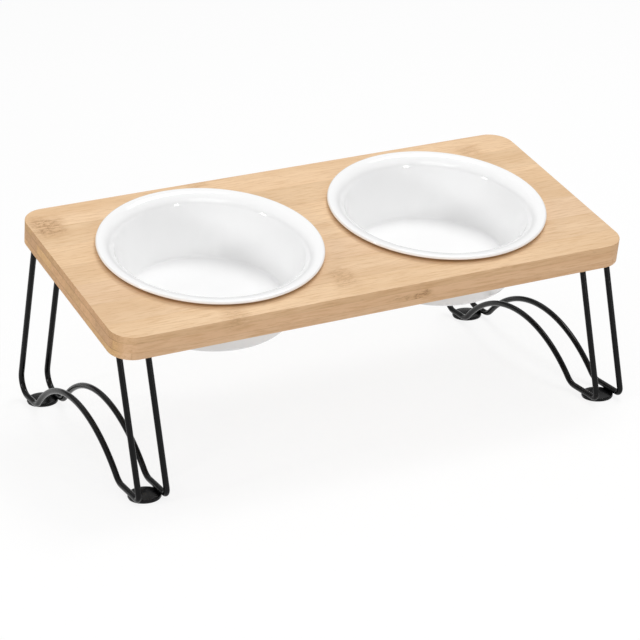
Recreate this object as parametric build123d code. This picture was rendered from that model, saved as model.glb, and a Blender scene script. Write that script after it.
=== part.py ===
from build123d import *
import os
from math import acos, asin, atan2, cos, degrees, radians, sin, sqrt

# Raised feeding stand for pets: a sloping bamboo board on bent wire legs, with two bowls that lift out.
# Lengths are in millimetres. X runs along the board, +Y to the rear and +Z up.
# The origin lies on the ground, in the middle of the footprint of the legs.

# Board of three glued layers
board_length = 348.0
board_depth = 160.0
board_corner_radius = 15.0
face_layer = 4.6
core_layer = 6.3
edge_round = 0.4
board_tilt = 11.6
board_top_height = 120.5
board_set_forward = 13.0

# Bowls
rim_radius = 70.2
bowl_gap = 18.2
lip_height = 4.4
lip_lift = 2.3
lip_round_above = 1.4
lip_round_below = 1.0
flange_width = 10.0
flange_drop = 0.8
shoulder_round = 9.0
wall_run_in = 11.2
floor_depth = 34.3
floor_round = 2.0
bowl_floor_thickness = 8.2
lip_overhang = 8.0
seat_width = 3.4
seat_round = 1.2
body_taper = 8.7
body_round = 5.0
foot_ring_inset = 5.0
foot_ring_width = 5.0
foot_ring_height = 1.5
foot_ring_round = 0.6
bowl_hole_gap = 1.4
hole_edge_break = 0.5

# Leg wires
wire_diameter = 3.8
wire_end_inset = 6.5
wire_pair_spacing = 17.9
wire_top_inset = 13.55
footprint_length = 195.6
front_heel_bend = 3.5
rear_heel_bend = 10.0
foot_run = 30.4
toe_bend = 12.0
arch_height = 32.8
arch_centre_y = 1.8

# Foot discs and their pads
disc_inset = 14.55
disc_set_in = 0.65
disc_thickness = 1.5
disc_edge_round = 0.5
pad_inset = 0.4
pad_thickness = 0.9
pad_edge_round = 0.25

# Mounting plates and their screws
plate_width = 24.0
plate_length = 29.0
plate_thickness = 2.0
plate_corner_radius = 4.0
plate_edge_round = 0.3
plate_end_margin = 4.5
screw_row_inset = 8.0
screw_row_spacing = 14.0
lone_screw_inset = 9.0
screw_diameter = 3.5
screw_head_diameter = 7.0
screw_length = 12.0
screw_tip_length = 3.0
screw_gap = 0.05
recess_width = 0.9
recess_span = 3.6
recess_depth = 1.2

# Worked out from the sizes above
board_thickness = 2 * face_layer + core_layer
deck = Location((0, -board_set_forward, board_top_height), (board_tilt, 0, 0))
bowl_spacing = 2 * rim_radius + bowl_gap
shoulder_radius = rim_radius - flange_width
floor_radius = shoulder_radius - wall_run_in
body_top_radius = rim_radius - lip_overhang
body_base_radius = body_top_radius - body_taper
foot_ring_radius = body_base_radius - foot_ring_inset
hole_radius = body_top_radius + bowl_hole_gap
wire_radius = wire_diameter / 2
outer_wire_x = board_length / 2 - wire_end_inset
wire_top_y = board_depth / 2 - wire_top_inset
toe_spacing = footprint_length - 2 * foot_run
disc_spacing = footprint_length - 2 * disc_inset
inner_wire_x = outer_wire_x - wire_pair_spacing
pair_middle_x = outer_wire_x - wire_pair_spacing / 2
disc_radius = wire_pair_spacing / 2 + wire_radius - disc_set_in
run_height = pad_thickness + disc_thickness + wire_radius
plate_outer_y = wire_top_y + plate_end_margin
sides = {"left": -1, "right": 1}
ends = {"front": -1, "rear": 1}


def rounded_slab(length, depth, thickness, corner_radius):
    """Flat slab with rounded corners, its top face at height zero."""
    outline = RectangleRounded(length, depth, corner_radius)
    return extrude(outline, -thickness)


def polar(centre, radius, angle):
    """Point on a circle, with the angle in degrees."""
    return (centre[0] + radius * cos(radians(angle)), centre[1] + radius * sin(radians(angle)))


def plate_spots(end):
    """One plate's screws, seen from the middle of its pair of wires: a row of two and a lone one."""
    row_y = end * (plate_outer_y - plate_length + screw_row_inset)
    lone_y = end * (plate_outer_y - lone_screw_inset)
    return [(-screw_row_spacing / 2, row_y), (screw_row_spacing / 2, row_y), (0, lone_y)]


def screw_spots():
    """Each screw's place on the board."""
    return [
        (side * pair_middle_x + x, y)
        for side in sides.values()
        for end in ends.values()
        for x, y in plate_spots(end)
    ]


def screw_envelope(gap):
    """Countersunk screw pointing up from the plate's lower face, grown by a gap all round."""
    shank = screw_diameter / 2 + gap
    head = screw_head_diameter / 2 + gap
    head_height = head - shank
    neck = screw_length - screw_tip_length + gap
    section = Polyline(
        (0, 0),
        (head, 0),
        (shank, head_height),
        (shank, neck),
        (0, screw_length + gap),
        close=True,
    )
    return revolve(Plane.XZ * make_face(section), Axis.Z)


def screw():
    """One wood screw with a cross recess in its head."""
    slot = Box(recess_span, recess_width, 2 * recess_depth)
    return screw_envelope(0) - slot - Rot(0, 0, 90) * slot


def screw_place(spot):
    """Location of a screw's head on the lower face of its plate, in the board's frame."""
    return Pos(spot[0], spot[1], -board_thickness - plate_thickness)


def bowl_hole():
    """What one bowl's hole takes out of the board: a bore with a broken edge at both faces."""
    mouth = hole_radius + hole_edge_break
    section = Polyline(
        (0, 0),
        (mouth, 0),
        (hole_radius, -hole_edge_break),
        (hole_radius, hole_edge_break - board_thickness),
        (mouth, -board_thickness),
        (0, -board_thickness),
        close=True,
    )
    return revolve(Plane.XZ * make_face(section), Axis.Z)


def board_layer(slab, depth):
    """A slab laid at its depth in the board, with its share of the bowl holes and the screw holes."""
    layer = Pos(0, 0, -depth) * slab
    for side in sides.values():
        layer -= Pos(side * bowl_spacing / 2, 0, 0) * bowl_hole()
    for spot in screw_spots():
        layer -= screw_place(spot) * screw_envelope(screw_gap)
    return deck * layer


def board():
    """The board's three layers in their places."""
    face = rounded_slab(board_length, board_depth, face_layer, board_corner_radius)
    core = rounded_slab(board_length, board_depth, core_layer, board_corner_radius)
    top = fillet(face.edges().group_by(Axis.Z)[-1], edge_round)
    bottom = fillet(face.edges().group_by(Axis.Z)[0], edge_round)
    return {
        "board_top_layer": board_layer(top, 0),
        "board_core": board_layer(core, face_layer),
        "board_bottom_layer": board_layer(bottom, face_layer + core_layer),
    }


def bowl():
    """Bowl turned about its own axis, its seat at height zero and its lip's edge standing clear above."""
    base = -floor_depth - bowl_floor_thickness
    ring_foot = base - foot_ring_height
    ring_inside = foot_ring_radius - foot_ring_width
    corners = [
        (0, -floor_depth, 0),
        (floor_radius, -floor_depth, floor_round),
        (shoulder_radius, lip_height - flange_drop, shoulder_round),
        (rim_radius, lip_height, lip_round_above),
        (rim_radius, lip_lift, lip_round_below),
        (body_top_radius + seat_width, 0, seat_round),
        (body_top_radius, 0, seat_round),
        (body_base_radius, base, body_round),
        (foot_ring_radius, base, foot_ring_round),
        (foot_ring_radius, ring_foot, foot_ring_round),
        (ring_inside, ring_foot, foot_ring_round),
        (ring_inside, base, foot_ring_round),
        (0, base, 0),
    ]
    points = [(radius, height) for radius, height, _ in corners]
    rounds = [rounding for _, _, rounding in corners[1:-1]]
    outline = FilletPolyline(*points, radius=rounds)
    axis_side = Line(points[-1], points[0])
    return revolve(Plane.XZ * make_face(outline + axis_side), Axis.Z)


def bowls():
    """Both bowls, seated on the board."""
    turned = bowl()
    return {
        f"{name}_bowl": deck * Pos(side * bowl_spacing / 2, 0, 0) * turned
        for name, side in sides.items()
    }


def wire_top(end):
    """Where a wire's centre line meets the board's underside, as Y and Z."""
    point = (deck * Pos(0, end * wire_top_y, -board_thickness)).position
    return (point.Y, point.Z)


def wire_end(end, bend, arch_radius):
    """One end of a wire: its leg, heel bend, level foot and the toe bend that meets the arch.

    It is drawn as the rear end, with distances measured outwards, and mirrored for the front.
    """
    top_y, top_z = wire_top(end)
    heel_centre = (footprint_length / 2 - wire_radius - bend, run_height + bend)
    across = end * top_y - heel_centre[0]
    up = top_z - heel_centre[1]
    spread = degrees(acos(bend / sqrt(across**2 + up**2)))
    touch = degrees(atan2(up, across)) - spread
    heel = CenterArc(heel_centre, bend, touch, -90 - touch)
    leg = Line((end * top_y, top_z), polar(heel_centre, bend, touch))
    reach = arch_radius + toe_bend
    drop = run_height + toe_bend - (arch_height - arch_radius)
    toe_centre = (end * arch_centre_y + sqrt(reach**2 - drop**2), run_height + toe_bend)
    toe = CenterArc(toe_centre, toe_bend, 270, toe_angle(arch_radius) - 90)
    foot = Line((heel_centre[0], run_height), (toe_centre[0], run_height))
    drawn = [leg, heel, foot, toe]
    return drawn if end > 0 else [edge.mirror(Plane.YZ) for edge in drawn]


def toe_angle(arch_radius):
    """Angle above the level at which the arch's radius meets a toe bend."""
    drop = run_height + toe_bend - (arch_height - arch_radius)
    return degrees(asin(drop / (arch_radius + toe_bend)))


def wire_route():
    """Centre line of one wire in its own upright plane: X there is Y of the stand, Y there is Z."""
    rise = arch_height - run_height
    arch_radius = ((toe_spacing / 2) ** 2 + rise**2) / (2 * rise)
    arch_centre = (arch_centre_y, arch_height - arch_radius)
    side_angle = toe_angle(arch_radius)
    arch = CenterArc(arch_centre, arch_radius, side_angle, 180 - 2 * side_angle)
    front = wire_end(-1, front_heel_bend, arch_radius)
    rear = wire_end(1, rear_heel_bend, arch_radius)
    return Wire([*front, arch, *rear])


def leg_wire(x):
    """One bent wire, cut off flush with the lower faces of its mounting plates."""
    upright = Plane(origin=(x, 0, 0), x_dir=(0, 1, 0), z_dir=(1, 0, 0))
    path = upright * wire_route()
    start = Plane(origin=path @ 0, z_dir=path % 0)
    rod = sweep(start * Circle(wire_radius), path=path)
    weld_plane = Plane(deck * Pos(0, 0, -board_thickness - plate_thickness))
    return split(rod, bisect_by=weld_plane, keep=Keep.BOTTOM)


def wires():
    """The outer and the inner wire of each side."""
    made = {}
    for name, side in sides.items():
        made[f"{name}_outer_wire"] = leg_wire(side * outer_wire_x)
        made[f"{name}_inner_wire"] = leg_wire(side * inner_wire_x)
    return made


def foot_disc():
    """Steel disc that a pair of wires is welded on, standing on its pad."""
    disc = Pos(0, 0, pad_thickness + disc_thickness / 2) * Cylinder(disc_radius, disc_thickness)
    return fillet(disc.edges().group_by(Axis.Z)[-1], disc_edge_round)


def foot_pad():
    """Thin anti-slip pad under a disc."""
    pad = Pos(0, 0, pad_thickness / 2) * Cylinder(disc_radius - pad_inset, pad_thickness)
    return fillet(pad.edges().group_by(Axis.Z)[0], pad_edge_round)


def mounting_plate(end):
    """Steel plate under the board with countersunk screw holes, in the frame of its pair of wires."""
    middle = end * (plate_outer_y - plate_length / 2)
    plate = rounded_slab(plate_width, plate_length, plate_thickness, plate_corner_radius)
    plate = fillet(plate.edges().group_by(Axis.Z)[0], plate_edge_round)
    plate = Pos(0, middle, -board_thickness) * plate
    for spot in plate_spots(end):
        plate -= screw_place(spot) * screw_envelope(screw_gap)
    return plate


def corners():
    """Disc, pad and plate at each corner of the stand."""
    disc = foot_disc()
    pad = foot_pad()
    made = {}
    for end_name, end in ends.items():
        plate = mounting_plate(end)
        for side_name, side in sides.items():
            corner = f"{end_name}_{side_name}"
            foot = Pos(side * pair_middle_x, end * disc_spacing / 2, 0)
            made[f"{corner}_foot_disc"] = foot * disc
            made[f"{corner}_foot_pad"] = foot * pad
            made[f"{corner}_mounting_plate"] = deck * Pos(side * pair_middle_x, 0, 0) * plate
    return made


def screws():
    """All the wood screws of the four plates."""
    one = screw()
    return {"plate_screws": Compound([deck * screw_place(spot) * one for spot in screw_spots()])}


parts = {**board(), **bowls(), **wires(), **corners(), **screws()}
os.makedirs("parts", exist_ok=True)
for name, shape in parts.items():
    export_step(shape, f"parts/{name}.step")
print(len(parts), "nodes written")
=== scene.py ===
import math

import bmesh
import bpy
from mathutils import Matrix, Vector


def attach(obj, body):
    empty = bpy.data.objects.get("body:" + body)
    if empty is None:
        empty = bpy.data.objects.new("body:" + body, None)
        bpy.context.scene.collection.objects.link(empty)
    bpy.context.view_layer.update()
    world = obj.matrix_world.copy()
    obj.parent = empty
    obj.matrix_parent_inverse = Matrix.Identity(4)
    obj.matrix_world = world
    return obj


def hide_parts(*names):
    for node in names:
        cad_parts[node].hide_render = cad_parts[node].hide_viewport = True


# Looks of the sloping bamboo feeding stand with bent wire legs and lift-out bowls.
# Lengths are in metres. X runs along the board, +Y to the rear and +Z up from the ground.

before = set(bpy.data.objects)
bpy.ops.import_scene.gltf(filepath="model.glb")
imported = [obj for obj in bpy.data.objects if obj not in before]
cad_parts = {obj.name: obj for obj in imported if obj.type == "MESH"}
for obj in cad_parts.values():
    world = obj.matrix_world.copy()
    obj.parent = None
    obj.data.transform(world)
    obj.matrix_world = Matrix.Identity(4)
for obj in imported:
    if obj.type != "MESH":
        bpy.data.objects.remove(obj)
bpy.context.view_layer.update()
MM = 0.001

# Board
board_length = 348 * MM
board_depth = 160 * MM
board_corner_radius = 15 * MM
face_layer = 4.6 * MM
core_layer = 6.3 * MM
board_thickness = 2 * face_layer + core_layer
edge_round = 0.4 * MM
hole_radius = 63.6 * MM
hole_edge_break = 0.5 * MM
board_tilt = math.radians(11.6)
board_top_middle = Vector((0, -13.0 * MM, 120.5 * MM))
deck = Matrix.Translation(board_top_middle) @ Matrix.Rotation(board_tilt, 4, "X")

# Bowls
bowl_spacing = 158.6 * MM
# Corners of a bowl's section: radius, height over the board and rounding, in mm
bowl_corners = [
    (0, -34.3, 0),
    (49.0, -34.3, 2.0),
    (60.2, 3.6, 9.0),
    (70.2, 4.4, 1.4),
    (70.2, 2.4, 0.7),
    (65.6, 0, 1.2),
    (62.2, 0, 1.2),
    (53.5, -42.5, 5.0),
    (48.5, -42.5, 0.6),
    (48.5, -44.0, 0.6),
    (43.5, -44.0, 0.6),
    (43.5, -42.5, 0.6),
    (0, -42.5, 0),
]

# Leg wires, foot discs and pads
# The heel is the bend from a leg to its level run, and the toe the bend from that run up into the arch
wire_radius = 1.9 * MM
outer_wire_x = 167.5 * MM
inner_wire_x = 149.6 * MM
wire_top_y = 66.45 * MM
wire_spare = 3 * MM
plate_thickness = 2 * MM
footprint_length = 195.6 * MM
heel_bends = {"front": 3.5 * MM, "rear": 10.0 * MM}
toe_spacing = 134.8 * MM
toe_bend = 12.0 * MM
arch_height = 32.8 * MM
arch_centre_y = 1.8 * MM
run_height = 4.3 * MM
foot_middle = Vector((158.55 * MM, 83.25 * MM, 0))
disc_radius = 10.2 * MM
disc_thickness = 1.5 * MM
disc_edge_round = 0.5 * MM
pad_radius = 9.8 * MM
pad_thickness = 0.9 * MM
pad_edge_round = 0.25 * MM
pad_groove_count = 2
pad_groove_spacing = 2.2 * MM
pad_groove_slope = 0.3 * MM
pad_groove_width = 0.7 * MM
pad_groove_depth = 0.25 * MM

# Sides and steps that round forms are drawn with, and angles in degrees past which an edge stays sharp
hole_sides = 192
corner_steps = 20
edge_steps = 4
bowl_turn_steps = 160
bowl_round_steps = 8
wire_sides = 28
heel_steps = {"front": 14, "rear": 18}
toe_steps = 12
arch_steps = 64
foot_sides = 96
pad_edge_steps = 3
board_crease = 30
bowl_crease = 50
round_crease = 40

# How close places are to count as one, and how squarely a face looks up or down to be a top or bottom
merge_gap = 0.001 * MM
same_place = 0.01 * MM
squarely = 0.9

sides = {"left": -1, "right": 1}
ends = {"front": -1, "rear": 1}
board_layers = {
    "board_top_layer": (0, face_layer),
    "board_core": (face_layer, core_layer),
    "board_bottom_layer": (face_layer + core_layer, face_layer),
}

# Bamboo strips, and the rings round the bowl holes inside which the board is darkened: a painted shadow
# under the bowls' lips on the top layer, and scorch at the hole walls of the lower layers
strip_width = 23.4 * MM
glue_line = 0.25 * MM
lip_shadow_ring = (68.0 * MM, 70.3 * MM)
hole_ring = (64.0 * MM, 64.5 * MM)

# What gives each layer its own strips, and each strip its own chances and its own part of the patterns
layer_shift = 0.37
layer_chance_step = 17.3
other_chance_factor = 7.0
strip_slide = 3.0

# Bamboo patterns: waves a metre along the board, across it and up, then the noise's detail and roughness
grain_patterns = {
    "waves": ((7, 52, 52), 3.0, 0.5),
    "fibres": ((62, 760, 760), 4.0, 0.6),
    "dashes": ((130, 1400, 1400), 2.0, 0.5),
    "pores": ((400, 1300, 1300), 2.0, 0.5),
    "bundles": ((100, 260, 420), 2.0, 0.5),
}
worm_pattern = ((110, 430, 430), 4.0, 0.65)
wander_pattern = ((110, 110, 110), 3.0)

# Bamboo marks: pattern values where a mark begins and is full, and its strength there, where 1 hides all
# Worms are the thin lines that wander across a knuckle
wave_marks = (0.36, 0.64, 0.0, 1.0)
fibre_marks = (0.47, 0.66, 0.0, 0.75)
dash_marks = (0.60, 0.74, 0.0, 0.22)
pore_marks = (0.42, 0.66, 0.0, 0.5)
bundle_marks = (0.4, 0.65, 0.0, 0.28)
speck_marks = (0.6, 0.72, 0.0, 0.5)
worm_width = 0.05
worm_share = 0.44
knuckle_share = 0.38
seam_share = 0.2
joint_share = 0.95
edge_joint_share = 0.25

# How far a face looks up or down to be the board's edge, and how far along the board to be its sawn end
edge_facing = (0.75, 0.35)
end_facing = (0.62, 0.9)

# Lowest and highest factors by which strips, and the blocks of the sawn ends, differ from each other
strip_tones = (0.95, 1.04)
strip_warmths = (0.95, 1.03)
block_tones = (0.88, 1.07)
block_greens = (0.975, 1.015)
block_blues = (1.0, 0.92)

# Knuckles: middle and half size in mm along the board, across it and up from its top face, and strength
knuckle_wander = 10 * MM
knuckle_fade = 0.4
knuckles = {
    "rear_left_corner": ((-163, 57, -2), (10, 12, 6), 1.3),
    "rear_edge_left": ((-54, 77, -2), (7, 5, 6), 0.7),
    "rear_right_corner": ((138, 62, -2), (8, 7, 6), 0.8),
    "front_middle": ((-18, -59, -2), (8, 12, 6), 0.9),
    "front_left_edge": ((-98, -76, -2), (7, 7, 6), 0.8),
    "front_core": ((27, -79, -7.4), (6, 8, 3.2), 1.3),
    "front_core_left": ((13, -79, -8.5), (9, 8, 2.2), 1.1),
    "left_core": ((-173, -52, -8), (7, 9, 4), 0.8),
    "right_core": ((172, 30, -8), (6, 10, 4), 0.8),
    "rear_core": ((-70, 79, -8), (7, 8, 3), 0.9),
    "rear_bottom": ((95, 78, -13), (7, 7, 3), 0.8),
    "bottom_left": ((-110, -30, -15), (8, 9, 4), 0.9),
    "bottom_right": ((60, 64, -15), (8, 9, 4), 0.9),
}

# Glaze: where it stops on the foot ring, measured down from the board's top face
glaze_end = 43.4 * MM
glaze_wobble = 0.6 * MM
glaze_fade = 0.15 * MM

# Patterns of the other materials: waves a metre in each direction, then the noise's detail
glaze_waves = ((38, 38, 38), 2.0)
glaze_specks = ((900, 900, 900), 2.0)
coat_grain = ((2600, 2600, 2600), 2.0)
coat_clouds = ((60, 60, 60), 3.0)
rubber_grain = ((1500, 1500, 1500), 4.0)
zinc_grain = ((1200, 1200, 1200), 3.0)

# Relief of each material as strength and height, and the share of it that worm lines and open pores cut away
bamboo_relief = (0.3, 0.08 * MM)
worm_groove = 0.6
pore_groove = 0.8
glaze_relief = (0.1, 0.4 * MM)
coat_relief = (0.25, 0.05 * MM)
rubber_relief = (0.5, 0.1 * MM)

# Studio: light levels, where 1 is white, and how far up mirrors see the ceiling begin and the horizon end
room_light = 0.22
ceiling_light = 0.9
studio_wall_light = 0.2
floor_white = (0.8, 0.8, 0.8, 1)
floor_shadow_share = (0.17, 0.17, 0.17, 1)
floor_glow = 0.835
floor_size = 30
ceiling_from = (0.38, 0.62)
horizon_from = (0.24, 0.12)

# Softboxes: place, width and height in metres, and power in watts
lamps = {
    "overhead_softbox": ((0.65, 0.42, 1.7), 0.6, 0.6, 9.1),
    "front_high_softbox": ((-0.4, -1.2, 1.15), 1.0, 0.8, 4.0),
    "left_softbox": ((-1.5, -0.12, 0.5), 0.16, 0.22, 5.0),
    "front_softbox": ((0.4, -1.55, 0.4), 0.16, 0.22, 3.3),
}

# Camera: place and reach in metres, lens and sensor in mm
camera_place = Vector((-0.6638, -1.3207, 0.6206))
camera_azimuth = math.radians(-26.733)
camera_elevation = math.radians(20.961)
camera_roll = math.radians(-0.942)
camera_lens = 139.49
camera_sensor = 36
camera_reach = (0.05, 60)


def select_only(piece):
    """Makes a piece the active one and the only one selected."""
    bpy.ops.object.select_all(action="DESELECT")
    piece.select_set(True)
    bpy.context.view_layer.objects.active = piece


def new_piece(name):
    """Names the shape that was just added, and leaves its object at the origin, unturned and unscaled."""
    piece = bpy.context.active_object
    piece.name = name
    select_only(piece)
    bpy.ops.object.transform_apply(location=True, rotation=True, scale=True)
    return piece


def open_piece(piece):
    """Opens a piece in edit mode with all of it selected."""
    select_only(piece)
    bpy.ops.object.mode_set(mode="EDIT")
    bpy.ops.mesh.select_mode(type="VERT")
    bpy.ops.mesh.select_all(action="SELECT")


def close_piece():
    """Leaves edit mode."""
    bpy.ops.object.mode_set(mode="OBJECT")


def pick(piece, kind, wanted):
    """Selects, in the open piece, just the vertices, edges or faces that are wanted."""
    bpy.ops.mesh.select_mode(type=kind)
    bpy.ops.mesh.select_all(action="DESELECT")
    mesh = bmesh.from_edit_mesh(piece.data)
    items = {"VERT": mesh.verts, "EDGE": mesh.edges, "FACE": mesh.faces}[kind]
    for item in items:
        if wanted(item):
            item.select_set(True)
    bmesh.update_edit_mesh(piece.data)


def at_height(edge, height):
    """Whether an edge lies at one height."""
    return all(abs(vert.co.z - height) < same_place for vert in edge.verts)


def settle(piece, place):
    """Moves a finished shape to its place and leaves its object at the origin, unturned and unscaled."""
    select_only(piece)
    piece.matrix_world = place
    bpy.ops.object.transform_apply(location=True, rotation=True, scale=True)


def smooth(piece, degrees):
    """Shades a piece smooth except at edges sharper than the angle."""
    select_only(piece)
    bpy.ops.object.shade_smooth_by_angle(angle=math.radians(degrees))


def copy_of(piece, name):
    """A copy of a piece with a mesh of its own."""
    made = piece.copy()
    made.data = piece.data.copy()
    made.name = name
    made.data.name = name
    bpy.context.scene.collection.objects.link(made)
    return made


def dress(piece, body, material, node):
    """Gives a new piece its body and material, and hides the CAD node that it stands in for."""
    piece.data.materials.clear()
    piece.data.materials.append(material)
    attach(piece, body)
    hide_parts(node)


# Board


def hole_cutter():
    """The shape of one bowl hole, flared at both faces, which is cut out of the board."""
    depth = board_thickness - 2 * hole_edge_break
    bpy.ops.mesh.primitive_cylinder_add(
        vertices=hole_sides, radius=hole_radius, depth=depth, location=(0, 0, -board_thickness / 2)
    )
    cutter = bpy.context.active_object
    open_piece(cutter)
    flare = (hole_radius + hole_edge_break) / hole_radius
    for way in (-1, 1):
        pick(cutter, "FACE", lambda face: face.normal.z * way > squarely)
        bpy.ops.mesh.extrude_region_move(TRANSFORM_OT_translate={"value": (0, 0, way * hole_edge_break)})
        bpy.ops.transform.resize(value=(flare, flare, 1))
        bpy.ops.mesh.extrude_region_move(TRANSFORM_OT_translate={"value": (0, 0, way * hole_edge_break)})
    close_piece()
    return cutter


def board_layer(name):
    """One layer of the board: a slab with rounded corners and softened edges, cut by both bowl holes."""
    depth, thickness = board_layers[name]
    bpy.ops.mesh.primitive_cube_add(
        size=1, location=(0, 0, -depth - thickness / 2), scale=(board_length, board_depth, thickness)
    )
    layer = new_piece(name + "_bamboo")
    open_piece(layer)
    pick(layer, "EDGE", lambda edge: (edge.verts[0].co.xy - edge.verts[1].co.xy).length < same_place)
    bpy.ops.mesh.bevel(offset=board_corner_radius, segments=corner_steps, affect="EDGES")
    outside = {"board_top_layer": 0, "board_bottom_layer": -board_thickness}
    if name in outside:
        pick(layer, "EDGE", lambda edge: at_height(edge, outside[name]))
        bpy.ops.mesh.bevel(offset=edge_round, segments=edge_steps, affect="EDGES")
    close_piece()
    for side in sides.values():
        cutter = hole_cutter()
        cutter.location.x = side * bowl_spacing / 2
        cut = layer.modifiers.new("bowl hole", "BOOLEAN")
        cut.operation = "DIFFERENCE"
        cut.solver = "EXACT"
        cut.object = cutter
        select_only(layer)
        bpy.ops.object.modifier_apply(modifier=cut.name)
        bpy.data.objects.remove(cutter)
    settle(layer, deck)
    smooth(layer, board_crease)
    return layer


# Bowls


def turning_angle(before, corner, after):
    """How far the outline turns at a corner, in radians."""
    arriving = Vector(corner) - Vector(before)
    leaving = Vector(after) - Vector(corner)
    return arriving.angle(leaving)


def bowl():
    """A bowl turned from its section, which is drawn corner by corner, rounded and spun about the axis."""
    points = [(radius * MM, height * MM) for radius, height, _ in bowl_corners]
    bpy.ops.mesh.primitive_plane_add(size=1 * MM, location=(points[0][0], 0, points[0][1]))
    turned = new_piece("bowl")
    open_piece(turned)
    bpy.ops.mesh.merge(type="CENTER")
    for here, there in zip(points, points[1:]):
        step = (there[0] - here[0], 0, there[1] - here[1])
        bpy.ops.mesh.extrude_region_move(TRANSFORM_OT_translate={"value": step})
    for index in range(1, len(points) - 1):
        corner = points[index]
        turn = turning_angle(points[index - 1], corner, points[index + 1])
        reach = bowl_corners[index][2] * MM * math.tan(turn / 2)
        spot = Vector((corner[0], 0, corner[1]))
        pick(turned, "VERT", lambda vert: (vert.co - spot).length < same_place)
        bpy.ops.mesh.bevel(offset=reach, segments=bowl_round_steps, affect="VERTICES")
    bpy.ops.mesh.select_all(action="SELECT")
    bpy.ops.mesh.spin(steps=bowl_turn_steps, angle=math.tau, center=(0, 0, 0), axis=(0, 0, 1))
    bpy.ops.mesh.select_all(action="SELECT")
    bpy.ops.mesh.remove_doubles(threshold=merge_gap)
    bpy.ops.mesh.normals_make_consistent(inside=False)
    close_piece()
    return turned


# Leg wires


def on_circle(centre, radius, angle):
    """Point on a circle in the wire's plane, with the angle in radians."""
    return (centre[0] + radius * math.cos(angle), centre[1] + radius * math.sin(angle))


def wire_half(name):
    """The front or rear half of the wire's route, its places measured outwards from the middle and up."""
    end = ends[name]
    bend = heel_bends[name]
    top = deck @ Vector((0, end * wire_top_y, -board_thickness))
    heel_centre = (footprint_length / 2 - wire_radius - bend, run_height + bend)
    across = end * top.y - heel_centre[0]
    up = top.z - heel_centre[1]
    heel_angle = math.atan2(up, across) - math.acos(bend / math.hypot(across, up))
    rise = arch_height - run_height
    arch_radius = ((toe_spacing / 2) ** 2 + rise**2) / (2 * rise)
    drop = run_height + toe_bend - (arch_height - arch_radius)
    toe_angle = math.asin(drop / (arch_radius + toe_bend))
    toe_y = end * arch_centre_y + math.sqrt((arch_radius + toe_bend) ** 2 - drop**2)
    return {
        "top": (end * top.y, top.z),
        "heel_centre": heel_centre,
        "heel_angle": heel_angle,
        "leg_foot": on_circle(heel_centre, bend, heel_angle),
        "toe_centre": (toe_y, run_height + toe_bend),
        "toe_angle": toe_angle,
        "arch_radius": arch_radius,
    }


def draw_on(change):
    """Carries the open end of a wire straight on by a change in Y and Z."""
    bpy.ops.mesh.extrude_region_move(TRANSFORM_OT_translate={"value": (0, change[0], change[1])})


def bend_on(centre, angle, steps):
    """Carries the open end of a wire round a centre in its plane, from Y towards Z for a positive angle."""
    bpy.ops.mesh.spin(steps=steps, angle=-angle, center=(0, centre[0], centre[1]), axis=(1, 0, 0))


def leg_wire():
    """One bent wire in the middle plane, from its front top end to its rear top end."""
    front = wire_half("front")
    rear = wire_half("rear")
    top = Vector((0, -front["top"][0], front["top"][1]))
    foot = Vector((0, -front["leg_foot"][0], front["leg_foot"][1]))
    leg = foot - top
    start = top - leg.normalized() * wire_spare
    bpy.ops.mesh.primitive_circle_add(
        vertices=wire_sides, radius=wire_radius, location=start,
        rotation=leg.to_track_quat("Z", "X").to_euler()
    )
    wire = new_piece("leg_wire")
    open_piece(wire)
    draw_on((foot.y - start.y, foot.z - start.z))
    heel_y = -front["heel_centre"][0]
    bend_on((heel_y, front["heel_centre"][1]), math.pi / 2 + front["heel_angle"], heel_steps["front"])
    toe_y = -front["toe_centre"][0]
    draw_on((toe_y - heel_y, 0))
    toe_turn = math.pi / 2 - front["toe_angle"]
    bend_on((toe_y, front["toe_centre"][1]), toe_turn, toe_steps)
    bend_on((arch_centre_y, arch_height - front["arch_radius"]), -2 * toe_turn, arch_steps)
    bend_on(rear["toe_centre"], toe_turn, toe_steps)
    draw_on((rear["heel_centre"][0] - rear["toe_centre"][0], 0))
    bend_on(rear["heel_centre"], math.pi / 2 + rear["heel_angle"], heel_steps["rear"])
    leg_end = Vector((0, *rear["top"])) - Vector((0, *rear["leg_foot"]))
    leg_end += leg_end.normalized() * wire_spare
    draw_on((leg_end.y, leg_end.z))
    weld_plane = deck @ Vector((0, 0, -board_thickness - plate_thickness))
    bpy.ops.mesh.select_all(action="SELECT")
    bpy.ops.mesh.bisect(
        plane_co=weld_plane, plane_no=deck.to_3x3() @ Vector((0, 0, 1)), use_fill=True, clear_outer=True
    )
    bpy.ops.mesh.select_all(action="SELECT")
    bpy.ops.mesh.remove_doubles(threshold=merge_gap)
    bpy.ops.mesh.normals_make_consistent(inside=False)
    close_piece()
    smooth(wire, round_crease)
    return wire


# Feet


def foot_disc():
    """A steel disc with a softened upper edge."""
    middle = pad_thickness + disc_thickness / 2
    bpy.ops.mesh.primitive_cylinder_add(
        vertices=foot_sides, radius=disc_radius, depth=disc_thickness, location=(0, 0, middle)
    )
    disc = new_piece("foot_disc")
    open_piece(disc)
    pick(disc, "EDGE", lambda edge: at_height(edge, pad_thickness + disc_thickness))
    bpy.ops.mesh.bevel(offset=disc_edge_round, segments=edge_steps, affect="EDGES")
    close_piece()
    smooth(disc, round_crease)
    return disc


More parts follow.
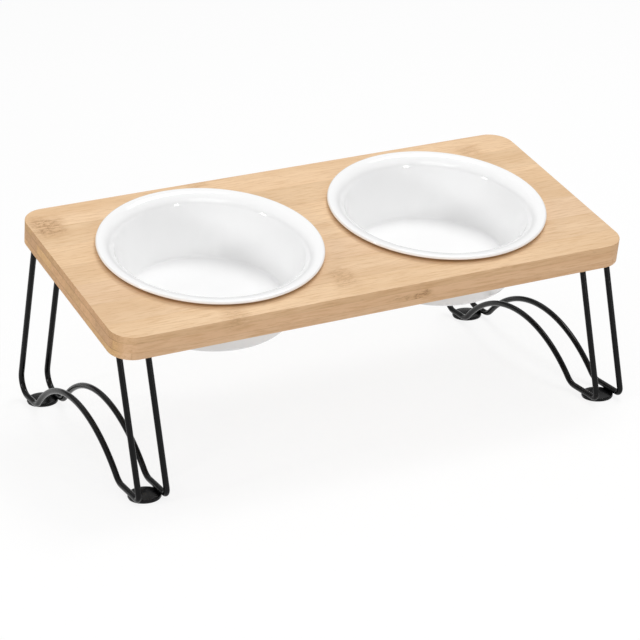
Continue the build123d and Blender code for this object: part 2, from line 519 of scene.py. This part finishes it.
def foot_pad():
    """A thin anti-slip pad with two round grooves underneath."""
    bpy.ops.mesh.primitive_cylinder_add(
        vertices=foot_sides, radius=pad_radius, depth=pad_thickness, location=(0, 0, pad_thickness / 2)
    )
    pad = new_piece("foot_pad")
    open_piece(pad)
    pick(pad, "FACE", lambda face: face.normal.z < -squarely)
    for _ in range(pad_groove_count):
        bpy.ops.mesh.inset(thickness=pad_groove_spacing)
        bpy.ops.mesh.inset(thickness=pad_groove_slope, depth=-pad_groove_depth)
        bpy.ops.mesh.inset(thickness=pad_groove_width)
        bpy.ops.mesh.inset(thickness=pad_groove_slope, depth=pad_groove_depth)
    pick(pad, "EDGE", lambda edge: at_height(edge, 0) and all(
        abs(vert.co.xy.length - pad_radius) < same_place for vert in edge.verts))
    bpy.ops.mesh.bevel(offset=pad_edge_round, segments=pad_edge_steps, affect="EDGES")
    close_piece()
    smooth(pad, round_crease)
    return pad


# Materials


def srgb(red, green, blue):
    """A colour given as 0 to 255 on a screen, as linear light."""
    linear = []
    for level in (red, green, blue):
        share = level / 255
        linear.append(share / 12.92 if share <= 0.04045 else ((share + 0.055) / 1.055) ** 2.4)
    return (*linear, 1)


# Colours
bamboo_pale = srgb(242, 209, 174)
bamboo_mid = srgb(231, 195, 157)
bamboo_deep = srgb(220, 181, 141)
bamboo_brown = srgb(150, 108, 68)
knuckle_tone = srgb(204, 164, 122)
end_grain_pale = srgb(222, 180, 134)
end_grain_deep = srgb(186, 141, 96)
glaze_tones = (srgb(249, 249, 249), srgb(252, 252, 252))
bare_clay_tones = (srgb(226, 219, 207), srgb(238, 232, 222))
coat_tones = (srgb(8, 8, 9), srgb(13, 13, 14))
rubber_tones = (srgb(34, 34, 34), srgb(48, 47, 46))
zinc_tones = (srgb(168, 168, 166), srgb(206, 206, 203))

# Darkenings, as the shares of red, green and blue that they leave: the edges' browner strip side with
# painted shade, and the painted lip shadow and scorch round the holes
edge_tone_and_shade = (0.87, 0.8, 0.735)
ring_shade_and_scorch = (0.66, 0.58, 0.5)

# Roughness: two pattern values, then how rough the surface is at each
bamboo_roughness = (0.3, 0.7, 0.5, 0.64)
glaze_roughness = (0, 1, 0.05, 0.12)
bare_clay_added_roughness = 0.65
coat_roughness = (0, 1, 0.17, 0.25)
rubber_roughness = 0.85
zinc_roughness = (0, 1, 0.25, 0.42)


def empty_nodes(owner, output_kind):
    """The emptied node tree of a material or world, and its output."""
    owner.use_nodes = True
    tree = owner.node_tree
    tree.nodes.clear()
    return tree, tree.nodes.new(output_kind)


def new_material(name):
    """A new material, its node tree and its shader."""
    material = bpy.data.materials.new(name)
    tree, output = empty_nodes(material, "ShaderNodeOutputMaterial")
    shader = tree.nodes.new("ShaderNodeBsdfPrincipled")
    tree.links.new(shader.outputs["BSDF"], output.inputs["Surface"])
    return material, tree, shader


def add(tree, kind, inputs=(), **settings):
    """Adds a node, sets it up and joins or fills its inputs."""
    node = tree.nodes.new(kind)
    for name, value in settings.items():
        setattr(node, name, value)
    for socket, value in dict(inputs).items():
        if isinstance(value, bpy.types.NodeSocket):
            tree.links.new(value, node.inputs[socket])
        else:
            node.inputs[socket].default_value = value
    return node


def math_node(tree, operation, *values):
    """The result of a sum on numbers or sockets."""
    return add(tree, "ShaderNodeMath", enumerate(values), operation=operation).outputs[0]


def blend_colours(tree, share, first, second, mode="MIX"):
    """Two colours blended by a share, which mixes them unless another mode is named."""
    parts = {0: share, 6: first, 7: second}
    return add(tree, "ShaderNodeMix", parts, data_type="RGBA", blend_type=mode).outputs[2]


def noise(tree, vector, scale, detail, roughness=0.5):
    """A soft noise value that reads a place stretched by a scale for each direction, in waves a metre."""
    stretched = add(tree, "ShaderNodeMapping", {"Vector": vector, "Scale": scale}).outputs[0]
    return add(tree, "ShaderNodeTexNoise", {
        "Vector": stretched, "Scale": 1.0, "Detail": detail, "Roughness": roughness}).outputs["Fac"]


def ramp(tree, value, low, high, bottom=0.0, top=1.0):
    """A value carried from one range to another and held at its ends."""
    return add(tree, "ShaderNodeMapRange", {
        "Value": value, "From Min": low, "From Max": high, "To Min": bottom, "To Max": top}).outputs[0]


def tint(tree, colour, red, green, blue):
    """A colour with each of its parts multiplied by a number or a socket."""
    by = add(tree, "ShaderNodeCombineColor", {"Red": red, "Green": green, "Blue": blue}).outputs[0]
    return blend_colours(tree, 1.0, colour, by, "MULTIPLY")


def roughen(tree, shader, height, strength, distance):
    """Gives a shader the relief of a height pattern."""
    bump = add(tree, "ShaderNodeBump", {"Height": height, "Strength": strength, "Distance": distance})
    tree.links.new(bump.outputs[0], shader.inputs["Normal"])


def on_board(tree, vector, moved=True):
    """A place or direction turned into the tilted board's own axes, and a place moved there too."""
    return add(tree, "ShaderNodeMapping", {
        "Vector": vector, "Location": deck.inverted().translation if moved else (0, 0, 0),
        "Rotation": (-board_tilt, 0, 0)}).outputs[0]


def near(tree, value, middle, half, soft):
    """One close to a middle value, fading to none past a half width."""
    offset = math_node(tree, "ABSOLUTE", math_node(tree, "SUBTRACT", value, middle))
    return ramp(tree, offset, half + soft, half - soft)


def board_axes(tree):
    """A place on the board, its parts along, across and up, and how far a face is an edge or a sawn end."""
    source = add(tree, "ShaderNodeTexCoord").outputs
    place = on_board(tree, source["Object"])
    facing = on_board(tree, source["Normal"], moved=False)
    axes = add(tree, "ShaderNodeSeparateXYZ", {"Vector": place}).outputs
    end_on, _, level = add(tree, "ShaderNodeSeparateXYZ", {"Vector": facing}).outputs
    edge = ramp(tree, math_node(tree, "ABSOLUTE", level), *edge_facing)
    end = ramp(tree, math_node(tree, "ABSOLUTE", end_on), *end_facing)
    return place, axes, edge, end


def knuckle_marks(tree, place, axes, depth, thickness):
    """How strongly knuckles of the bamboo show at a place of one layer."""
    wander = math_node(tree, "SUBTRACT", noise(tree, place, *wander_pattern), 0.5)
    shift = math_node(tree, "MULTIPLY", wander, knuckle_wander)
    total = 0.0
    for middle, half, strength in knuckles.values():
        highest = (middle[2] + half[2]) * MM
        lowest = (middle[2] - half[2]) * MM
        if highest < -depth - thickness or lowest > -depth:
            continue
        mark = strength
        for axis, centre, size in zip(axes, middle, half):
            moved = math_node(tree, "ADD", axis, shift)
            share = near(tree, moved, centre * MM, size * MM, knuckle_fade * size * MM)
            mark = math_node(tree, "MULTIPLY", share, mark)
        total = math_node(tree, "MAXIMUM", mark, total)
    return total


def strip_pattern(tree, axes, seed):
    """How far a place is off its strip's middle, two chances of the strip, and where it reads patterns."""
    along, across, high = axes
    strips = math_node(tree, "ADD", math_node(tree, "DIVIDE", across, strip_width), layer_shift * (seed - 1))
    over_strip = math_node(tree, "FRACT", strips)
    off_middle = math_node(tree, "ABSOLUTE", math_node(tree, "SUBTRACT", over_strip, 0.5))
    lot = math_node(tree, "ADD", math_node(tree, "FLOOR", strips), layer_chance_step * seed)
    chance = add(tree, "ShaderNodeTexWhiteNoise", {"W": lot}, noise_dimensions="1D").outputs["Value"]
    other_chance = math_node(tree, "FRACT", math_node(tree, "MULTIPLY", chance, other_chance_factor))
    slide = math_node(tree, "MULTIPLY", chance, strip_slide)
    own_place = add(tree, "ShaderNodeCombineXYZ", {
        "X": math_node(tree, "ADD", along, slide), "Y": across, "Z": high}).outputs[0]
    return off_middle, chance, other_chance, own_place


def face_colour(tree, grain, chance, other_chance):
    """Bamboo as its faces show it: wavy tones, fibres and dark dashes, and each strip a little different."""
    colour = blend_colours(tree, ramp(tree, grain["waves"], *wave_marks), bamboo_mid, bamboo_pale)
    colour = blend_colours(tree, ramp(tree, grain["fibres"], *fibre_marks), colour, bamboo_deep)
    colour = blend_colours(tree, ramp(tree, grain["dashes"], *dash_marks), colour, bamboo_brown)
    tone = ramp(tree, chance, 0, 1, *strip_tones)
    warmth = ramp(tree, other_chance, 0, 1, *strip_warmths)
    return tint(tree, colour, tone, tone, math_node(tree, "MULTIPLY", tone, warmth))


def end_colour(tree, grain, chance, other_chance):
    """Bamboo as its sawn ends show it: pores and fibre bundles, block by block."""
    pores = ramp(tree, grain["pores"], *pore_marks)
    bundles = ramp(tree, grain["bundles"], *bundle_marks)
    colour = blend_colours(tree, math_node(tree, "ADD", pores, bundles), end_grain_pale, end_grain_deep)
    tone = ramp(tree, other_chance, 0, 1, *block_tones)
    green = math_node(tree, "MULTIPLY", tone, ramp(tree, chance, 0, 1, *block_greens))
    blue = math_node(tree, "MULTIPLY", tone, ramp(tree, chance, 0, 1, *block_blues))
    return tint(tree, colour, tone, green, blue)


def knuckled(tree, colour, marks, worms):
    """A colour with the knuckles drawn on it, and how strongly their wandering lines show."""
    lines = ramp(tree, math_node(tree, "ABSOLUTE", math_node(tree, "SUBTRACT", worms, 0.5)), worm_width, 0.0)
    worm_lines = math_node(tree, "MULTIPLY", math_node(tree, "MULTIPLY", marks, marks), lines)
    specks = math_node(tree, "MULTIPLY", marks, ramp(tree, worms, *speck_marks))
    colour = blend_colours(tree, math_node(tree, "MULTIPLY", marks, knuckle_share), colour, knuckle_tone)
    colour = blend_colours(tree, math_node(tree, "MULTIPLY", worm_lines, worm_share), colour, bamboo_brown)
    return blend_colours(tree, specks, colour, bamboo_pale), worm_lines


def darkened_round_holes(tree, colour, along, across, ring):
    """A colour darkened round both bowl holes, fading out from a ring's first radius to its second: a
    painted shadow under the bowls' lips with the top layer's ring, and scorch with the lower layers' ring.
    """
    from_hole = math_node(tree, "SUBTRACT", math_node(tree, "ABSOLUTE", along), bowl_spacing / 2)
    squares = [math_node(tree, "POWER", part, 2.0) for part in (from_hole, across)]
    reach = math_node(tree, "SQRT", math_node(tree, "ADD", *squares))
    inner, outer = ring
    return blend_colours(tree, ramp(tree, reach, outer, inner), colour, tint(tree, colour, *ring_shade_and_scorch))


def glue_marks(tree, off_middle, high, shown, depth, thickness):
    """Hairlines of glue between the strips, and between the layers as far as they are shown."""
    seam = ramp(tree, off_middle, 0.5 - glue_line / strip_width, 0.5, 0.0, seam_share)
    middle = -depth - thickness / 2
    from_middle = math_node(tree, "ABSOLUTE", math_node(tree, "SUBTRACT", high, middle))
    joint = ramp(tree, from_middle, thickness / 2 - glue_line, thickness / 2, 0.0, joint_share)
    joint = math_node(tree, "MULTIPLY", joint, shown)
    if depth != face_layer:
        # an outer layer is glued to the core on its inner side alone
        inner_side = "LESS_THAN" if depth == 0 else "GREATER_THAN"
        joint = math_node(tree, "MULTIPLY", joint, math_node(tree, inner_side, high, middle))
    return math_node(tree, "MAXIMUM", seam, joint)


def bamboo(name, seed, depth, thickness):
    """Lacquered bamboo in strips side by side, for one layer of the board."""
    material, tree, shader = new_material(f"bamboo_{name}")
    place, axes, edge, end = board_axes(tree)
    along, across, high = axes
    off_middle, chance, other_chance, own_place = strip_pattern(tree, axes, seed)
    grain = {kind: noise(tree, own_place, *pattern) for kind, pattern in grain_patterns.items()}
    # the edges show the denser, browner side of the strips, darkened further as painted shade where the
    # sides get less light than the top
    colour = face_colour(tree, grain, chance, other_chance)
    colour = blend_colours(tree, edge, colour, tint(tree, colour, *edge_tone_and_shade))
    colour = blend_colours(tree, end, colour, end_colour(tree, grain, chance, other_chance))
    marks = knuckle_marks(tree, place, axes, depth, thickness)
    colour, worm_lines = knuckled(tree, colour, marks, noise(tree, place, *worm_pattern))
    # the top layer is darkened under the bowls' lips as a painted shadow, and the lower layers are scorched
    # where the holes were routed
    colour = darkened_round_holes(tree, colour, along, across, lip_shadow_ring if depth == 0 else hole_ring)
    shown = math_node(tree, "MAXIMUM", math_node(tree, "MULTIPLY", edge, edge_joint_share), end)
    glue = glue_marks(tree, off_middle, high, shown, depth, thickness)
    tree.links.new(blend_colours(tree, glue, colour, bamboo_brown), shader.inputs["Base Color"])
    tree.links.new(ramp(tree, grain["fibres"], *bamboo_roughness), shader.inputs["Roughness"])
    open_pores = math_node(tree, "MULTIPLY", grain["pores"], end)
    grooves = math_node(tree, "MULTIPLY", worm_lines, worm_groove)
    height = math_node(tree, "SUBTRACT", grain["fibres"], grooves)
    height = math_node(tree, "SUBTRACT", height, math_node(tree, "MULTIPLY", open_pores, pore_groove))
    roughen(tree, shader, height, *bamboo_relief)
    shader.inputs["Specular IOR Level"].default_value = 0.2
    return material


def white_glaze():
    """Thick glossy white glaze with a faint waviness, wiped off the foot ring."""
    material, tree, shader = new_material("white_glaze")
    place = add(tree, "ShaderNodeTexCoord").outputs["Object"]
    waves = noise(tree, place, *glaze_waves)
    specks = noise(tree, place, *glaze_specks)
    glazed = blend_colours(tree, waves, *glaze_tones)
    bare = blend_colours(tree, specks, *bare_clay_tones)
    high = add(tree, "ShaderNodeSeparateXYZ", {"Vector": on_board(tree, place)}).outputs["Z"]
    wobble = math_node(tree, "MULTIPLY", math_node(tree, "SUBTRACT", waves, 0.5), glaze_wobble)
    wiped = ramp(tree, math_node(tree, "ADD", high, wobble), -glaze_end, -glaze_end - glaze_fade)
    tree.links.new(blend_colours(tree, wiped, glazed, bare), shader.inputs["Base Color"])
    gloss = ramp(tree, specks, *glaze_roughness)
    rough = math_node(tree, "ADD", gloss, math_node(tree, "MULTIPLY", wiped, bare_clay_added_roughness))
    tree.links.new(rough, shader.inputs["Roughness"])
    roughen(tree, shader, waves, *glaze_relief)
    shader.inputs["IOR"].default_value = 1.52
    shader.inputs["Coat Weight"].default_value = 0.2
    shader.inputs["Coat Roughness"].default_value = 0.03
    return material


def black_coat():
    """Smooth black powder coat with its fine orange-peel grain."""
    material, tree, shader = new_material("black_powder_coat")
    place = add(tree, "ShaderNodeTexCoord").outputs["Object"]
    grain = noise(tree, place, *coat_grain)
    clouds = noise(tree, place, *coat_clouds)
    tree.links.new(blend_colours(tree, clouds, *coat_tones), shader.inputs["Base Color"])
    tree.links.new(ramp(tree, grain, *coat_roughness), shader.inputs["Roughness"])
    roughen(tree, shader, grain, *coat_relief)
    shader.inputs["Specular IOR Level"].default_value = 0.16
    return material


def pad_rubber():
    """Matt black anti-slip pad."""
    material, tree, shader = new_material("anti_slip_pad")
    place = add(tree, "ShaderNodeTexCoord").outputs["Object"]
    grain = noise(tree, place, *rubber_grain)
    tree.links.new(blend_colours(tree, grain, *rubber_tones), shader.inputs["Base Color"])
    roughen(tree, shader, grain, *rubber_relief)
    shader.inputs["Roughness"].default_value = rubber_roughness
    return material


def screw_zinc():
    """Zinc plated steel with a fine grain."""
    material, tree, shader = new_material("screw_zinc")
    place = add(tree, "ShaderNodeTexCoord").outputs["Object"]
    grain = noise(tree, place, *zinc_grain)
    tree.links.new(blend_colours(tree, grain, *zinc_tones), shader.inputs["Base Color"])
    tree.links.new(ramp(tree, grain, *zinc_roughness), shader.inputs["Roughness"])
    shader.inputs["Metallic"].default_value = 1.0
    return material


# Assembly


def make_board():
    """Builds and dresses the board's three layers."""
    for seed, (name, (depth, thickness)) in enumerate(board_layers.items()):
        layer = board_layer(name)
        dress(layer, "stand", bamboo(name, seed, depth, thickness), name)


def make_bowls():
    """Builds one bowl and seats a copy in each hole."""
    glaze = white_glaze()
    pattern = bowl()
    for name, side in sides.items():
        made = copy_of(pattern, f"{name}_bowl_glazed")
        settle(made, deck @ Matrix.Translation((side * bowl_spacing / 2, 0, 0)))
        smooth(made, bowl_crease)
        dress(made, f"{name}_bowl", glaze, f"{name}_bowl")
    bpy.data.objects.remove(pattern)


def make_wires(coat):
    """Builds one wire and sets a copy at each of the four places."""
    pattern = leg_wire()
    for name, side in sides.items():
        for which, reach in (("outer", outer_wire_x), ("inner", inner_wire_x)):
            made = copy_of(pattern, f"{name}_{which}_wire_coated")
            settle(made, Matrix.Translation((side * reach, 0, 0)))
            dress(made, "stand", coat, f"{name}_{which}_wire")
    bpy.data.objects.remove(pattern)


def make_feet(coat):
    """Sets a disc and a pad at each corner."""
    rubber = pad_rubber()
    for pattern, kind, slot, material in (
        (foot_disc(), "foot_disc", "black_coated_steel", coat),
        (foot_pad(), "foot_pad", "anti_slip_pad", rubber),
    ):
        for end_name, end in ends.items():
            for side_name, side in sides.items():
                node = f"{end_name}_{side_name}_{kind}"
                made = copy_of(pattern, node + "_finished")
                settle(made, Matrix.Translation((side * foot_middle.x, end * foot_middle.y, 0)))
                dress(made, "stand", material, node)
        bpy.data.objects.remove(pattern)


def dress_cad_nodes(coat):
    """Finishes the plates and screws, whose CAD shapes are right as they are."""
    zinc = screw_zinc()
    for name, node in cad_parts.items():
        if name.endswith("mounting_plate") or name == "plate_screws":
            node.data.materials.clear()
            node.data.materials.append(zinc if name == "plate_screws" else coat)


# Studio


def seen_directly(tree):
    """One for rays from the camera, mirrors and glass, and none for light that falls on surfaces."""
    path = add(tree, "ShaderNodeLightPath").outputs
    seen = math_node(tree, "MAXIMUM", path["Is Camera Ray"], path["Is Glossy Ray"])
    return math_node(tree, "MAXIMUM", seen, path["Is Transmission Ray"])


def make_floor():
    """A plain pale floor, seen as white with soft shadows."""
    bpy.ops.mesh.primitive_plane_add(size=floor_size, location=(0, 0, 0))
    floor = bpy.context.active_object
    floor.name = "studio_floor"
    material = bpy.data.materials.new("studio_floor_white")
    tree, output = empty_nodes(material, "ShaderNodeOutputMaterial")
    lit = add(tree, "ShaderNodeBsdfDiffuse", {"Color": floor_white})
    shadowed = add(tree, "ShaderNodeBsdfDiffuse", {"Color": floor_shadow_share})
    glow = add(tree, "ShaderNodeEmission", {"Color": (1, 1, 1, 1), "Strength": floor_glow})
    shown = add(tree, "ShaderNodeAddShader", {0: shadowed.outputs[0], 1: glow.outputs[0]})
    both = add(tree, "ShaderNodeMixShader", {0: seen_directly(tree), 1: lit.outputs[0], 2: shown.outputs[0]})
    tree.links.new(both.outputs[0], output.inputs["Surface"])
    floor.data.materials.append(material)


def make_world():
    """White to the eye, brightest overhead as light, and in mirrors dim between horizon and ceiling."""
    world = bpy.data.worlds.new("studio_world")
    bpy.context.scene.world = world
    tree, output = empty_nodes(world, "ShaderNodeOutputWorld")
    path = add(tree, "ShaderNodeLightPath").outputs
    up = add(tree, "ShaderNodeSeparateXYZ", {
        "Vector": add(tree, "ShaderNodeTexCoord").outputs["Generated"]}).outputs["Z"]
    ceiling = ramp(tree, up, *ceiling_from, studio_wall_light, 1.0)
    horizon = ramp(tree, up, *horizon_from, studio_wall_light, 1.0)
    mirrored = math_node(tree, "MAXIMUM", ceiling, horizon)
    steepness = math_node(tree, "POWER", math_node(tree, "MAXIMUM", up, 0.0), 2.0)
    falling = ramp(tree, steepness, 0.0, 1.0, room_light, ceiling_light)
    seen = math_node(tree, "MAXIMUM", path["Is Camera Ray"], path["Is Transmission Ray"])
    unseen = math_node(tree, "SUBTRACT", 1.0, math_node(tree, "MAXIMUM", seen, path["Is Glossy Ray"]))
    strength = math_node(tree, "ADD", seen, math_node(tree, "MULTIPLY", unseen, falling))
    strength = math_node(tree, "ADD", strength, math_node(tree, "MULTIPLY", mirrored, path["Is Glossy Ray"]))
    light = add(tree, "ShaderNodeBackground", {"Color": (1, 1, 1, 1), "Strength": strength})
    tree.links.new(light.outputs[0], output.inputs["Surface"])


def make_lamps():
    """The softboxes, each aimed at the middle of the board."""
    for name, (place, width, height, power) in lamps.items():
        data = bpy.data.lights.new(name, "AREA")
        data.shape = "RECTANGLE"
        data.size = width
        data.size_y = height
        data.energy = power
        lamp = bpy.data.objects.new(name, data)
        bpy.context.scene.collection.objects.link(lamp)
        lamp.location = place
        lamp.rotation_euler = (board_top_middle - Vector(place)).to_track_quat("-Z", "Y").to_euler()


def make_camera():
    """The camera at the photograph's angle."""
    data = bpy.data.cameras.new("photo_camera")
    data.lens = camera_lens
    data.sensor_width = camera_sensor
    data.clip_start, data.clip_end = camera_reach
    camera = bpy.data.objects.new("photo_camera", data)
    bpy.context.scene.collection.objects.link(camera)
    camera.location = camera_place
    turn = Matrix.Rotation(camera_azimuth, 3, "Z") @ Matrix.Rotation(math.pi / 2 - camera_elevation, 3, "X")
    camera.rotation_euler = (turn @ Matrix.Rotation(camera_roll, 3, "Z")).to_euler()
    bpy.context.scene.camera = camera


make_camera()
make_world()
make_floor()
make_lamps()
black = black_coat()
make_board()
make_bowls()
make_wires(black)
make_feet(black)
dress_cad_nodes(black)

view = bpy.context.scene.view_settings
view.view_transform = "Standard"
